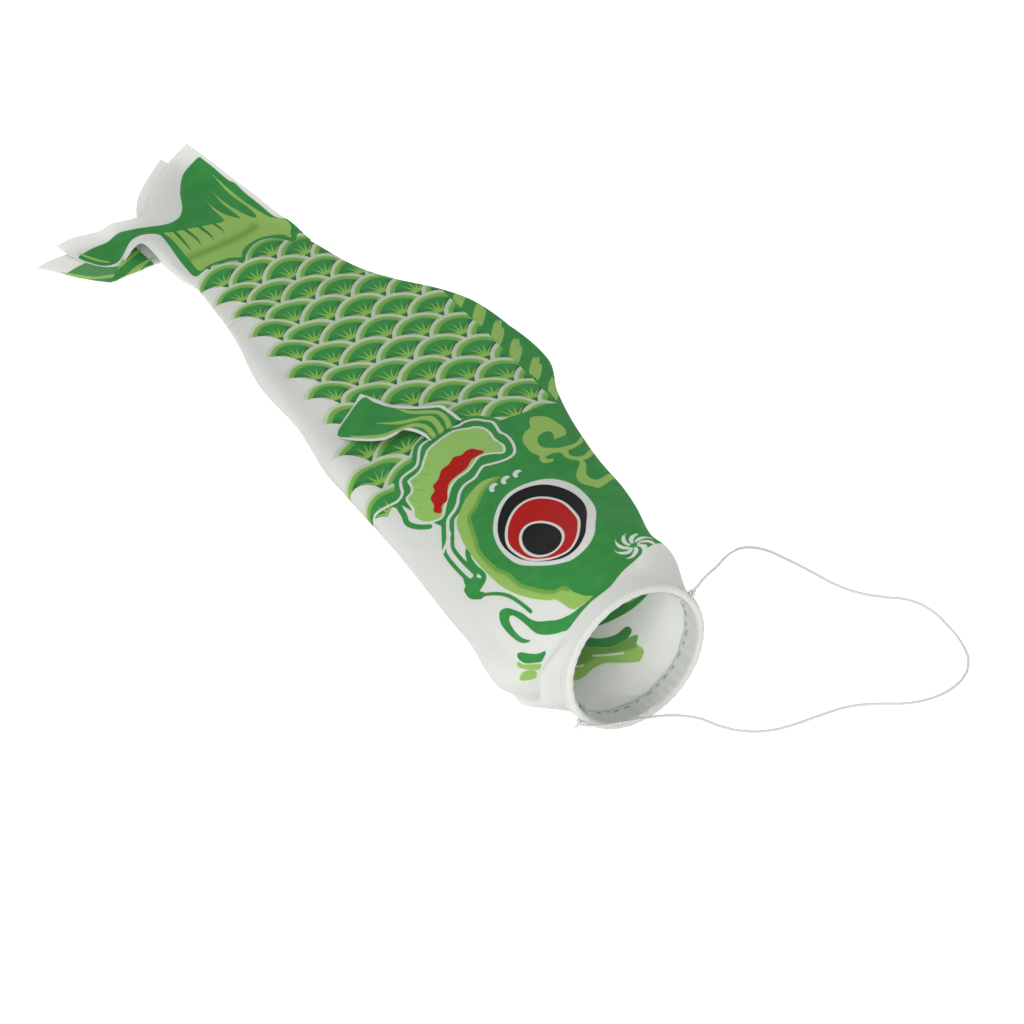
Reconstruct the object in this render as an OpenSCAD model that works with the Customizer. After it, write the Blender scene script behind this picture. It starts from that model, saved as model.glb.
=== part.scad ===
// Carp streamer: a fish windsock sewn from two printed side panels, with a hoop in its
// mouth and a cord bridle. It lies on its left side, so its right side faces up.
// +X points to the mouth, +Y to the back, +Z up. Millimetres and degrees.

/* [Mouth] */
// Diameter of the hoop, to the middle of its rod
ring_d = 86; // [70:1:104]
// Thickness of the hoop's rod
ring_rod_d = 2.6; // [1.8:0.1:4]
// Wall of the sleeve that joins the hoop's ends
sleeve_wall = 0.5; // [0.3:0.1:1]
// Length of that sleeve
sleeve_l = 18; // [10:1:30]
// Angle by which the hoop leans back from upright
ring_lean = 13; // [0:1:20]
// Angle of the back seam above level, at the hoop
mouth_roll = 35; // [0:1:42]
// Width of the hem behind the hoop
hem_w = 11; // [7:1:18]
// Number of running stitches round the hem
stitch_count = 36; // [20:1:60]
// Length of one stitch
stitch_l = 2.8; // [1.5:0.1:4]
// Thickness of the stitching thread
thread_d = 0.7; // [0.4:0.1:1]

/* [Body] */
// Length from the hoop to the root of the tail
body_l = 430; // [360:1:520]
// Distance from the hoop to the highest point of the back
hump_back = 245; // [225:1:300]
// Width of the body there
hump_w = 158; // [128:1:190]
// Width of the head
head_w = 124; // [100:1:150]
// Height of the head where it is that wide
head_h = 48; // [30:1:60]
// Width of the body at the root of the tail
root_w = 84; // [66:1:102]
// Height of the opening at the root of the tail
root_h = 8; // [6:0.5:12]
// Distance from the hoop to the place where the rear half bends up
bend_back = 330; // [310:1:350]
// Thickness of the cloth
cloth_t = 0.6; // [0.4:0.1:0.8]
// Width of the seam allowance
seam_w = 6; // [3:1:8]

/* [Tail] */
// Length of the tail's upper lobe
upper_lobe_l = 134; // [100:1:160]
// Length of the tail's lower lobe
lower_lobe_l = 90; // [70:1:110]
// Drop of the lower lobe's tip below the middle of the tail's root
lower_lobe_drop = 104; // [85:1:126]
// Angle by which the lower layer has slipped round from the upper one
layer_slip = 10; // [0:1:12]

/* [Fins] */
// Length of a pectoral fin
fin_l = 62; // [40:1:74]
// Width of a pectoral fin at its root
fin_root_w = 26; // [20:1:32]
// Width of a pectoral fin at its free end
fin_end_w = 35; // [24:1:44]
// Distance from the hoop to the middle of the fin's root
fin_back = 210; // [200:1:222]

/* [Bridle] */
// Angle above level at which the bridle is tied to the hoop
tie_angle = 31; // [20:1:42]
// Diameter of the bridle cord
cord_d = 1.6; // [1.2:0.1:2]
// Diameter of the knots
knot_d = 5.2; // [4:0.1:7]

/* [Hidden] */

$fn = 64;
white = [0.90, 0.91, 0.89];
green = [0.20, 0.55, 0.28];
leaf = [0.55, 0.72, 0.33];
thread_green = [0.30, 0.55, 0.35];
cord_white = [0.80, 0.80, 0.79];

fit = 0.1;            // clearance of the hoop in its sleeve and of the sleeve in the hem
skim = 0.02;          // clearance between layers that are sewn together
stitch_inset = 2;     // distance of the hem's stitches from its edge
part_gap = 0.6;       // gap between cloth on two bodies
air = 0.4;            // smallest gap over a joint's travel
ring_r = ring_d / 2;
rod_r = ring_rod_d / 2;
channel_r = rod_r + fit + sleeve_wall + fit;
casing_r = channel_r + cloth_t;
band_t = 2 * cloth_t;                     // the hem band is two layers of cloth
band_r = ring_r - band_t;                 // middle radius of that band
ring_z = ring_r * cos(ring_lean) + casing_r;
front_reach = ring_r * sin(ring_lean) + casing_r;
edge = 0.35;                              // half the gap between the panels at a seam
rest_gap = cloth_t + 2 * part_gap;        // height of the body over the fin that it lies on

// Turns a point p about a centre c by angle a, all in the plane.
function turn(p, c, a) = [c[0] + (p[0] - c[0]) * cos(a) - (p[1] - c[1]) * sin(a),
                          c[1] + (p[0] - c[0]) * sin(a) + (p[1] - c[1]) * cos(a)];

// Places below are [distance back from the hoop, distance up the fish from the mouth's axis].
root_y = -3;
hump_y = 26;
hump_top = hump_y + hump_w / 2 + cloth_t / 2;
lower_tip = turn([-body_l - lower_lobe_l, root_y - lower_lobe_drop], [-body_l, root_y], layer_slip);
mouth_x = (body_l + upper_lobe_l - front_reach) / 2;
mouth_y = (-lower_tip[1] - hump_top) / 2;

// The body's sections, from the hem to the root of the tail: distance back, middle, half
// width, half height, roll, lean, height over the surface.
function ease(f) = (1 + cos(180 * pow(f, 1.35))) / 2;
hem_edge_z = ring_z - hem_w * sin(ring_lean);
hem_lift = hem_edge_z - (band_r + cloth_t / 2) * cos(ring_lean);
stations = concat(
    [[hem_w * cos(ring_lean), 0, band_r, band_r - edge, mouth_roll, ring_lean, hem_lift],
     [30, -6, (band_r + head_w / 2) / 2, (2 * band_r + head_h / 2) / 3, 28, 9, rest_gap],
     [60, -4, head_w / 2 - 5, (band_r + head_h / 2) / 2, 21, 6, rest_gap],
     [105, 2, head_w / 2, head_h / 2, 11, 2, rest_gap],
     [165, 10, (head_w + hump_w) / 4 - 3, head_h / 2 - 4, 4, 0, rest_gap],
     [212, 19, (head_w + hump_w) / 4 + 1, head_h / 2 - 8, 1, 0, rest_gap]],
    [for (f = [0 : 0.25 : 1])
        [hump_back + f * (body_l - hump_back), root_y + (hump_y - root_y) * ease(f),
         root_w / 2 + (hump_w - root_w) / 2 * ease(f), root_h / 2 + (12 - root_h / 2) * pow(1 - f, 1.3),
         0, 0, rest_gap]]);
last = len(stations) - 1;

// Smooth interpolation of column k of the stations at distance x behind the hoop.
function span(x, i = 0) = i >= last - 1 || x <= stations[i + 1][0] ? i : span(x, i + 1);
function grade(i, k) = let (a = max(i - 1, 0), b = min(i + 1, last))
    (stations[b][k] - stations[a][k]) / (stations[b][0] - stations[a][0]);
function at(x, k) = let (i = span(x), p = stations[i], q = stations[i + 1],
                         h = q[0] - p[0], t = (x - p[0]) / h)
    (2 * pow(t, 3) - 3 * t * t + 1) * p[k] + (pow(t, 3) - 2 * t * t + t) * h * grade(i, k)
    + (3 * t * t - 2 * pow(t, 3)) * q[k] + (pow(t, 3) - t * t) * h * grade(i + 1, k);

// Height of the middle of the section, so that its lowest point is at its lift.
function mid_z(x) = let (a = at(x, 2), b = at(x, 3) + edge, r = at(x, 4))
    at(x, 6) + (sqrt(pow(a * sin(r), 2) + pow(b * cos(r), 2)) + cloth_t / 2) * cos(at(x, 5));

// A point of the section at distance x: u across from belly to back, v up, both in the section.
function place(x, u, v) = let (r = at(x, 4), l = at(x, 5),
                               y = u * cos(r) - v * sin(r), h = u * sin(r) + v * cos(r))
    [mouth_x - x - h * sin(l), mouth_y + at(x, 1) + y, mid_z(x) + h * cos(l)];

// A point of a side panel, d outside its middle surface; side is 1 above and -1 below.
function skin(x, a, side, d) = let (w = at(x, 2), h = at(x, 3), n = norm([h * cos(a), w * sin(a)]))
    place(x, w * cos(a) + d * h * cos(a) / n, side * (edge + h * sin(a) + d * w * sin(a) / n));

// Height of the outside of the upper panel where the body lies flat, at row position x, y.
function top_z(x, y) = let (b = mouth_x - x, u = (y - mouth_y - at(b, 1)) / at(b, 2))
    mid_z(b) + edge + at(b, 3) * sqrt(max(1 - u * u, 0)) + cloth_t / 2;

// A closed sheet between two grids of points that have the same rows and columns.
module sheet(upper, lower) {
    rows = len(upper);
    cols = len(upper[0]);
    n = rows * cols;
    function id(s, i, j) = s * n + i * cols + j;
    function quad(a, b, c, d) = [[a, b, c], [a, c, d]];
    points = [for (grid = [upper, lower], row = grid, p = row) p];
    faces = [for (quads = concat(
        [for (i = [0 : rows - 2], j = [0 : cols - 2])
            quad(id(0, i, j), id(0, i, j + 1), id(0, i + 1, j + 1), id(0, i + 1, j))],
        [for (i = [0 : rows - 2], j = [0 : cols - 2])
            quad(id(1, i + 1, j), id(1, i + 1, j + 1), id(1, i, j + 1), id(1, i, j))],
        [for (j = [0 : cols - 2]) quad(id(1, 0, j), id(1, 0, j + 1), id(0, 0, j + 1), id(0, 0, j))],
        [for (j = [0 : cols - 2])
            quad(id(0, rows - 1, j), id(0, rows - 1, j + 1), id(1, rows - 1, j + 1), id(1, rows - 1, j))],
        [for (i = [0 : rows - 2]) quad(id(0, i, 0), id(0, i + 1, 0), id(1, i + 1, 0), id(1, i, 0))],
        [for (i = [0 : rows - 2])
            quad(id(1, i, cols - 1), id(1, i + 1, cols - 1), id(0, i + 1, cols - 1), id(0, i, cols - 1))]),
        f = quads) f];
    polyhedron(points, faces);
}

// Even steps from a to b.
function steps(a, b, n) = [for (i = [0 : n]) a + (b - a) * i / n];

front_rows = steps(hem_w * cos(ring_lean) + skim, bend_back - part_gap / 2, 26);
rear_rows = steps(bend_back + part_gap / 2, body_l - part_gap / 2, 10);

module side_panel(rows, side) {
    angles = steps(0, 180, 20);
    outer = [for (x = rows) [for (a = angles) skin(x, a, side, cloth_t / 2)]];
    inner = [for (x = rows) [for (a = angles) skin(x, a, side, -cloth_t / 2)]];
    if (side > 0)
        sheet(inner, outer);
    else
        sheet(outer, inner);
}

// The seam allowance lies between the panels' edges; end is 1 at the back, -1 at the belly.
module seam(rows, end) {
    h = edge - skim;
    function across(x) = [for (d = [cloth_t / 2, -seam_w]) end * (at(x, 2) + d)];
    low = [for (x = rows) [for (u = across(x)) place(x, u, -h)]];
    high = [for (x = rows) [for (u = across(x)) place(x, u, h)]];
    if (end > 0)
        sheet(high, low);
    else
        sheet(low, high);
}

// Puts children in the hoop's frame: its axis along Z, its back towards -Z, X to the back seam.
module at_mouth() {
    translate([mouth_x, mouth_y, ring_z])
        rotate([0, 90 - ring_lean, 0])
            rotate([0, 0, 90])
                children();
}

module mouth_ring() {
    color(white)
        at_mouth()
            rotate_extrude()
                translate([ring_r, 0])
                    circle(rod_r);
}

module ring_sleeve() {
    sleeve_angle = sleeve_l / ring_r * 180 / PI;
    color(cord_white)
        at_mouth()
            rotate([0, 0, -100])
                rotate_extrude(angle = sleeve_angle)
                    translate([ring_r, 0])
                        difference() {
                            circle(rod_r + fit / 2 + sleeve_wall);
                            circle(rod_r + fit / 2);
                        }
}

module mouth_hem() {
    color(white)
        at_mouth()
            rotate_extrude()
                difference() {
                    union() {
                        translate([ring_r, 0])
                            circle(casing_r);
                        translate([band_r - band_t / 2, -hem_w])
                            square([band_t, hem_w]);
                    }
                    translate([ring_r, 0])
                        circle(channel_r);
                }
}

module hem_stitching() {
    stitch_r = band_r - band_t / 2 - thread_d / 2 - skim;
    color(thread_green)
        at_mouth()
            for (i = [0 : stitch_count - 1])
                rotate([0, 0, i * 360 / stitch_count])
                    translate([stitch_r, 0, -hem_w + stitch_inset])
                        rotate([90, 0, 0])
                            cylinder(h = stitch_l, d = thread_d, center = true, $fn = 16);
}

module right_front_panel() {
    color(green)
        side_panel(front_rows, 1);
}

module left_front_panel() {
    color(green)
        side_panel(front_rows, -1);
}

module back_seam_front() {
    color(white)
        seam(front_rows, 1);
}

module belly_seam_front() {
    color(white)
        seam(front_rows, -1);
}

module right_rear_panel() {
    color(leaf)
        side_panel(rear_rows, 1);
}

module left_rear_panel() {
    color(leaf)
        side_panel(rear_rows, -1);
}

module back_seam_rear() {
    color(white)
        seam(rear_rows, 1);
}

module belly_seam_rear() {
    color(white)
        seam(rear_rows, -1);
}

// One layer of the forked tail, seen from above.
module tail_outline() {
    tip_u = [-body_l - upper_lobe_l, root_y + 20];
    tip_l = [-body_l - lower_lobe_l, root_y - lower_lobe_drop];
    notch = [-body_l - 0.91 * lower_lobe_l, root_y - 0.3 * lower_lobe_drop];
    half = root_w / 2;
    front = -body_l - part_gap / 2;
    translate([mouth_x, mouth_y])
        polygon([[front, root_y + half], tip_u, (tip_u + notch) / 2 + [-1, -5], notch,
                 (notch + tip_l) / 2 + [-3, 0], tip_l, (tip_l + [front, root_y - half]) / 2 + [0, 6],
                 [front, root_y - half]]);
}

tail_gap = 5.6;     // height of the air between the tail's two layers

module right_tail_fin() {
    color(green)
        translate([0, 0, cloth_t + tail_gap])
            linear_extrude(cloth_t)
                tail_outline();
}

module left_tail_fin() {
    pivot = [mouth_x - body_l, mouth_y + root_y, 0];
    color(green)
        intersection() {
            translate(pivot)
                rotate([0, 0, layer_slip])
                    translate(-pivot)
                        linear_extrude(cloth_t)
                            tail_outline();
            translate([pivot[0] - part_gap / 2 - 2 * upper_lobe_l, -2 * hump_w, 0])
                cube([2 * upper_lobe_l, 4 * hump_w, cloth_t]);
        }
}

// The fins' frame: origin at the middle of the root, X forward, Y along the root to the back.
fin_heading = 12;
fin_sweep = 25;     // drop of the free end's middle towards the belly
fin_skew = 0.1;     // share by which the upper edge is longer than the middle
fin_rise = 8.5;     // place of the root's middle above the mouth's axis
fin_seam_w = 3;     // width of the seam that holds the root
fin_mid = [mouth_x - fin_back, mouth_y + fin_rise];
function fin_point(along, across) =
    let (s = along / fin_l, w = fin_root_w + (fin_end_w - fin_root_w) * s,
         x = -along * (1 + fin_skew * across * s), y = across * w / 2 - fin_sweep * s)
    turn(fin_mid + [x, y], fin_mid, fin_heading);

module draped(alongs, acrosses, lift, t) {
    function lay(d) = [for (s = alongs) [for (c = acrosses)
        let (p = fin_point(s, c)) [p[0], p[1], top_z(p[0], p[1]) + lift + d]]];
    sheet(lay(0), lay(t));
}

module right_pectoral_fin() {
    color(green)
        draped(steps(air, fin_l, 10), steps(-1, 1, 6), 2 * air, cloth_t);
}

module right_fin_seam() {
    color(white)
        draped([-fin_seam_w, 0], steps(-1, 1, 6), skim, cloth_t);
}

module left_pectoral_fin() {
    color(green)
        translate([0, 0, part_gap / 2])
            linear_extrude(cloth_t)
                polygon([for (p = [[air, -1], [air, 1], [fin_l, 1], [fin_l, -1]]) fin_point(p[0], p[1])]);
}

module left_fin_seam() {
    color(white)
        translate([0, 0, part_gap / 2])
            linear_extrude(cloth_t)
                polygon([for (p = [[-fin_seam_w, -1], [-fin_seam_w, 1], [0, 1], [0, -1]]) fin_point(p[0], p[1])]);
}

// The knots sit outside the hem, where the seams meet the hoop.
knot_out = ring_r + casing_r + air + knot_d / 2;

module knot(side) {
    color(cord_white)
        at_mouth()
            rotate([0, 0, tie_angle])
                translate([side * knot_out, 0, 0])
                    sphere(d = knot_d);
}

module upper_knot() {
    knot(1);
}

module lower_knot() {
    knot(-1);
}

// The bridle's route, from the upper knot down to the surface and back up to the lower knot.
cord_route = [
    [270, 50, 69], [264, 56, 62], [255, 65, 51], [245, 76, 40], [236, 87, 29],
    [228, 100, 18], [221, 111, 9.5], [216, 121, 4], [215, 129, 1.6], [221, 138, 1],
    [236, 146, 1], [251, 152, 1], [267, 158, 1], [280, 166, 1], [290, 176, 1],
    [299, 186, 1], [311, 192, 1], [327, 193, 1], [342, 191, 1], [353, 186, 1],
    [360, 177, 1], [363, 165, 1], [362, 151, 1], [357, 137, 1], [349, 124, 1],
    [342, 110, 1], [338, 93, 1], [335, 76, 1], [331, 62, 1], [323, 49, 1],
    [313, 40, 1.2], [304, 34, 1.8], [298, 26, 3.6], [294, 16, 6.4], [292, 6, 9.4],
    [291, -4, 12.8], [290, -14, 16.6], [288, -25, 20], [282, -33, 20]];

// A smooth curve through the route: n steps to each of its spans.
function curve_point(p, i, t) =
    let (a = p[max(i - 1, 0)], b = p[i], c = p[i + 1], d = p[min(i + 2, len(p) - 1)])
    (2 * b + (c - a) * t + (2 * a - 5 * b + 4 * c - d) * t * t + (3 * b - a - 3 * c + d) * t * t * t) / 2;
function curve(p, n) = concat([for (i = [0 : len(p) - 2], k = [0 : n - 1]) curve_point(p, i, k / n)],
                              [p[len(p) - 1]]);

// A round tube along points that never run straight up.
module tube(points, d, sides) {
    n = len(points);
    function ahead(i) = points[min(i + 1, n - 1)] - points[max(i - 1, 0)];
    function ring(i) = let (t = ahead(i) / norm(ahead(i)), s = cross(t, [0, 0, 1]), a = s / norm(s), b = cross(a, t))
        [for (k = [0 : sides - 1]) points[i] + d / 2 * (cos(360 * k / sides) * a + sin(360 * k / sides) * b)];
    walls = [for (i = [0 : n - 2], k = [0 : sides - 1]) let (m = (k + 1) % sides)
        [i * sides + k, i * sides + m, (i + 1) * sides + m, (i + 1) * sides + k]];
    ends = [[for (k = [sides - 1 : -1 : 0]) k], [for (k = [0 : sides - 1]) (n - 1) * sides + k]];
    polyhedron([for (i = [0 : n - 1], p = ring(i)) p], concat(walls, ends));
}

module bridle_cord() {
    color(cord_white)
        tube(curve(cord_route, 2), cord_d, 8);
}

mouth_ring();
ring_sleeve();
mouth_hem();
hem_stitching();
right_front_panel();
left_front_panel();
back_seam_front();
belly_seam_front();
right_rear_panel();
left_rear_panel();
back_seam_rear();
belly_seam_rear();
right_tail_fin();
left_tail_fin();
right_pectoral_fin();
left_pectoral_fin();
right_fin_seam();
left_fin_seam();
bridle_cord();
upper_knot();
lower_knot();
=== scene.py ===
import math

import bpy
import numpy as np
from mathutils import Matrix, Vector


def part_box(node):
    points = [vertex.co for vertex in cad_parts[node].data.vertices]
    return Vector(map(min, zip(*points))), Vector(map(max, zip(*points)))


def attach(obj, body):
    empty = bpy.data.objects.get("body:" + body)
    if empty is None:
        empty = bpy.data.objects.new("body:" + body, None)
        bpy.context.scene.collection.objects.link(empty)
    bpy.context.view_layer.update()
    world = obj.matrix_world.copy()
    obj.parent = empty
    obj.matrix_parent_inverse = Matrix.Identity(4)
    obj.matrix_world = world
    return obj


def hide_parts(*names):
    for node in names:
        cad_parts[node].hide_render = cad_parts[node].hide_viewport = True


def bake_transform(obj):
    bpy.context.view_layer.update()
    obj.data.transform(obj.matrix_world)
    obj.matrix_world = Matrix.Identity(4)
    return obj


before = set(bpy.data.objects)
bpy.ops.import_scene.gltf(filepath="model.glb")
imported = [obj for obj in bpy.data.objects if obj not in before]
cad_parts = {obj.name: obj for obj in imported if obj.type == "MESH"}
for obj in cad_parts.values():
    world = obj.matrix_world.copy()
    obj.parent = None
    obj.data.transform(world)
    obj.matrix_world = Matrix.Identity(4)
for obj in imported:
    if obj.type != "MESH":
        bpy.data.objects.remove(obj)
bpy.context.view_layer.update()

bpy.ops.object.select_all(action="DESELECT")


# ---- Camera -----------------------------------------------------------------------------
# It stands in front of the mouth on the belly's side and looks down and along the fish. The
# hoop's middle is the point that everything at the mouth is set out from.
low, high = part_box("mouth_ring")
mouth = (low + high) / 2
VIEW_AZIMUTH = math.radians(57.1)
VIEW_ELEVATION = math.radians(48)
view = Vector((-math.sin(VIEW_AZIMUTH) * math.cos(VIEW_ELEVATION),
               math.cos(VIEW_AZIMUTH) * math.cos(VIEW_ELEVATION), -math.sin(VIEW_ELEVATION)))
bpy.ops.object.camera_add(location=mouth + Vector((0.6542, -0.5035, 1.0323)),
                          rotation=view.to_track_quat("-Z", "Y").to_euler())
camera = bpy.context.object
camera.data.lens = 85
bpy.context.scene.camera = camera


# ---- Bridle cord ------------------------------------------------------------------------
# One length of soft braided polyester cord, tied to the hoop at two opposite points. It drops
# from the upper knot to the surface, lies in a loose loop and comes back up to the lower knot.
CORD_D = 0.0016
CORD_ROUTE = [
    (.270, .048, .068), (.264, .055, .060), (.255, .065, .0485), (.245, .076, .036), (.236, .087, .025),
    (.228, .100, .016), (.221, .111, .0095), (.216, .121, .004), (.215, .129, .0016), (.221, .138, .001),
    (.236, .146, .001), (.251, .152, .001), (.267, .158, .001), (.280, .166, .001), (.290, .176, .001),
    (.299, .186, .001), (.311, .192, .001), (.327, .193, .001), (.342, .191, .001), (.353, .186, .001),
    (.360, .177, .001), (.363, .165, .001), (.362, .151, .001), (.357, .137, .001), (.349, .124, .001),
    (.342, .110, .001), (.338, .093, .001), (.335, .076, .001), (.331, .062, .001), (.323, .049, .001),
    (.313, .040, .0012), (.304, .034, .0018), (.298, .026, .0036), (.294, .016, .0064), (.292, .006, .0094),
    (.291, -.004, .0128), (.290, -.014, .0166), (.288, -.025, .020), (.282, -.033, .020)]


def linear(hex_colour):
    """An sRGB colour such as "3a8a4a" as the linear RGBA that a shader takes."""
    parts = [int(hex_colour[i:i + 2], 16) / 255 for i in (0, 2, 4)]
    return [c / 12.92 if c <= 0.04045 else ((c + 0.055) / 1.055) ** 2.4 for c in parts] + [1.0]


def add_node(tree, kind, settings=None, links=None):
    """Adds a node with its settings, and feeds its inputs from sockets or plain values."""
    made = tree.nodes.new(kind)
    for name, value in (settings or {}).items():
        setattr(made, name, value)
    for key, value in (links or {}).items():
        if isinstance(value, bpy.types.NodeSocket):
            tree.links.new(value, made.inputs[key])
        else:
            made.inputs[key].default_value = value
    return made


def maths(tree, operation, *values):
    """The outcome of one sum on sockets or plain values."""
    return add_node(tree, "ShaderNodeMath", {"operation": operation}, dict(enumerate(values))).outputs[0]


def new_material(name):
    """A new material, its node tree and its shader."""
    made = bpy.data.materials.new(name)
    made.use_nodes = True
    return made, made.node_tree, made.node_tree.nodes["Principled BSDF"]


def add_bump(tree, shader, strength, distance, height):
    """Fine relief that is too small to model."""
    bump = add_node(tree, "ShaderNodeBump", {},
                    {"Strength": strength, "Distance": distance, "Height": height})
    tree.links.new(bump.outputs["Normal"], shader.inputs["Normal"])


# White braided polyester: satin, with the braid's strands crossing at a slant. The strands of
# a 1.6 mm cord are 0.5 mm wide, and they are drawn at 0.9 mm so that they show.
braid, tree, shader = new_material("braided_polyester_cord")
place = add_node(tree, "ShaderNodeTexCoord").outputs["Object"]
strands = add_node(tree, "ShaderNodeTexWave", {"bands_direction": "DIAGONAL"},
                   {"Vector": place, "Scale": 350.0, "Distortion": 1.5, "Detail": 1.0})
fuzz = add_node(tree, "ShaderNodeTexNoise", {}, {"Vector": place, "Scale": 900.0, "Detail": 2.0})
lumps = maths(tree, "ADD", strands.outputs["Fac"], fuzz.outputs["Fac"])
tint = add_node(tree, "ShaderNodeMix", {"data_type": "RGBA"},
                {0: strands.outputs["Fac"], 6: linear("9a9a97"), 7: linear("b4b4b1")}).outputs[2]
tree.links.new(tint, shader.inputs["Base Color"])
shader.inputs["Roughness"].default_value = 0.62
add_bump(tree, shader, 0.3, 0.0002, lumps)

line = bpy.data.curves.new("bridle", "CURVE")
line.dimensions = "3D"
line.bevel_depth = CORD_D / 2
line.bevel_resolution = 4
line.resolution_u = 8
line.use_fill_caps = True
spline = line.splines.new("BEZIER")
spline.bezier_points.add(len(CORD_ROUTE) - 1)
for knot_point, spot in zip(spline.bezier_points, CORD_ROUTE):
    knot_point.co = spot
    knot_point.handle_left_type = "AUTO"
    knot_point.handle_right_type = "AUTO"
bridle = bpy.data.objects.new("bridle", line)
bpy.context.collection.objects.link(bridle)
line.materials.append(braid)
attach(bridle, "bridle")
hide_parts("bridle_cord")


# ---- Knots ------------------------------------------------------------------------------
# Overhand knots in the same cord, pulled tight outside the hem where the seams meet the
# hoop. Each is one tube along a trefoil, with a short cut end standing out.
def pick(thing):
    """Makes one object the only selected and active one."""
    bpy.ops.object.select_all(action="DESELECT")
    thing.select_set(True)
    bpy.context.view_layer.objects.active = thing


def as_mesh(name, shape, material):
    """A curve made into a smooth mesh object of one material."""
    made = bpy.data.objects.new(name, shape)
    bpy.context.collection.objects.link(made)
    pick(made)
    bpy.ops.object.convert(target="MESH")
    bpy.ops.object.shade_smooth()
    made = bpy.context.object
    made.data.materials.clear()
    made.data.materials.append(material)
    return made


KNOT_SNUG = 0.05         # share of the way to the hoop's middle that a knot is drawn in


def knot(name, node):
    """A knot in the place of one node."""
    lowest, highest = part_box(node)
    centre = (lowest + highest) / 2
    centre = centre + (mouth - centre) * KNOT_SNUG
    size = (highest - lowest).x
    tube = 0.14 * size
    loop = (size / 2 - tube) / 3
    path = []
    for step in range(48):
        t = math.tau * step / 48
        path.append(centre + loop * Vector(((2 + math.cos(3 * t)) * math.cos(2 * t),
                                            math.sin(3 * t) * 1.6,
                                            (2 + math.cos(3 * t)) * math.sin(2 * t))))
    shape = bpy.data.curves.new(name, "CURVE")
    shape.dimensions = "3D"
    shape.bevel_depth = tube
    shape.bevel_resolution = 3
    winding = shape.splines.new("POLY")
    winding.points.add(len(path) - 1)
    for point, spot in zip(winding.points, path):
        point.co = (*spot, 1)
    winding.use_cyclic_u = True
    outward = (centre - mouth).normalized()
    tail = shape.splines.new("POLY")
    tail.points.add(3)
    for i, point in enumerate(tail.points):
        point.co = (*(centre + outward * size * (0.1 + 0.19 * i) + Vector((0, 0, -0.0002 * i * i))), 1)
    made = as_mesh(name, shape, braid)
    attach(made, "bridle")
    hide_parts(node)
    return made


knots = [knot("upper_tie", "upper_knot"), knot("lower_tie", "lower_knot")]


# ---- Hoop and its sleeve ----------------------------------------------------------------
# A drawn plastic rod bent round, its two ends pushed into a short tube. Both lie inside the
# casing of the hem, so only their shapes are felt through the cloth.
for name, colour, rough in (("mouth_ring", "e2e1dc", 0.42), ("ring_sleeve", "c4c7c8", 0.3)):
    plastic, tree, shader = new_material("drawn_polypropylene_" + name)
    place = add_node(tree, "ShaderNodeTexCoord").outputs["Object"]
    marks = add_node(tree, "ShaderNodeTexNoise", {}, {"Vector": place, "Scale": 260.0, "Detail": 4.0})
    add_bump(tree, shader, 0.15, 0.0002, marks.outputs["Fac"])
    wear = add_node(tree, "ShaderNodeMapRange", {},
                    {0: marks.outputs["Fac"], 1: 0.3, 2: 0.7, 3: rough - 0.06, 4: rough + 0.1})
    tree.links.new(wear.outputs[0], shader.inputs["Roughness"])
    shader.inputs["Base Color"].default_value = linear(colour)
    shader.inputs["IOR"].default_value = 1.49
    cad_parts[name].data.materials.clear()
    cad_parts[name].data.materials.append(plastic)


# ---- Side panels ------------------------------------------------------------------------
# Two mirrored pieces of thin printed polyester make the fish, sewn together along its back
# and its belly. It lies on its left side, held open by the hoop and by a little air.
MM = 0.001
EDGE = 0.2               # half the gap between the panels at a seam
CLOTH = 0.3              # thickness of the cloth as drawn
# Sections of the body, in millimetres and degrees: distance back from the hoop, middle above
# the mouth's axis, half width, half height, roll, lean, height over the surface.
SECTIONS = np.array([
    (0, 0, 45.3, 45.1, 35, 13, 0.05), (10.7, 0, 44.6, 44.4, 35, 13, -1.7), (30, -6, 51.9, 35.9, 28, 9, 1.8),
    (60, -4, 57, 32.9, 21, 6, 1.8), (105, 2, 62, 24, 11, 2, 1.8),
    (165, 10, 67.5, 20, 4, 0, 1.8), (212, 19, 71.5, 16, 1, 0, 1.8),
    (245, 26, 79, 12, 0, 0, 1.8), (291, 24.3, 76.9, 9.5, 0, 0, 1.8), (338, 16.3, 66.6, 7.2, 0, 0, 1.8),
    (384, 3.8, 50.7, 5.3, 0, 0, 1.8), (430, -3, 42, 4, 0, 0, 1.8)], float)


def smooth(x):
    """Rises smoothly from 0 to 1 as x does."""
    x = np.clip(x, 0, 1)
    return x * x * (3 - 2 * x)


def along(back, column):
    """One column of the sections, smoothly between them, at distances back from the hoop."""
    at, value = SECTIONS[:, 0], SECTIONS[:, column]
    last = len(at) - 1
    grade = np.empty(last + 1)
    for i in range(last + 1):
        a, b = max(i - 1, 0), min(i + 1, last)
        grade[i] = (value[b] - value[a]) / (at[b] - at[a])
    i = np.clip(np.searchsorted(at, back) - 1, 0, last - 1)
    h = at[i + 1] - at[i]
    t = np.clip((back - at[i]) / h, 0, 1)
    return ((2 * t**3 - 3 * t**2 + 1) * value[i] + (t**3 - 2 * t**2 + t) * h * grade[i]
            + (3 * t**2 - 2 * t**3) * value[i + 1] + (t**3 - t**2) * h * grade[i + 1])


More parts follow.
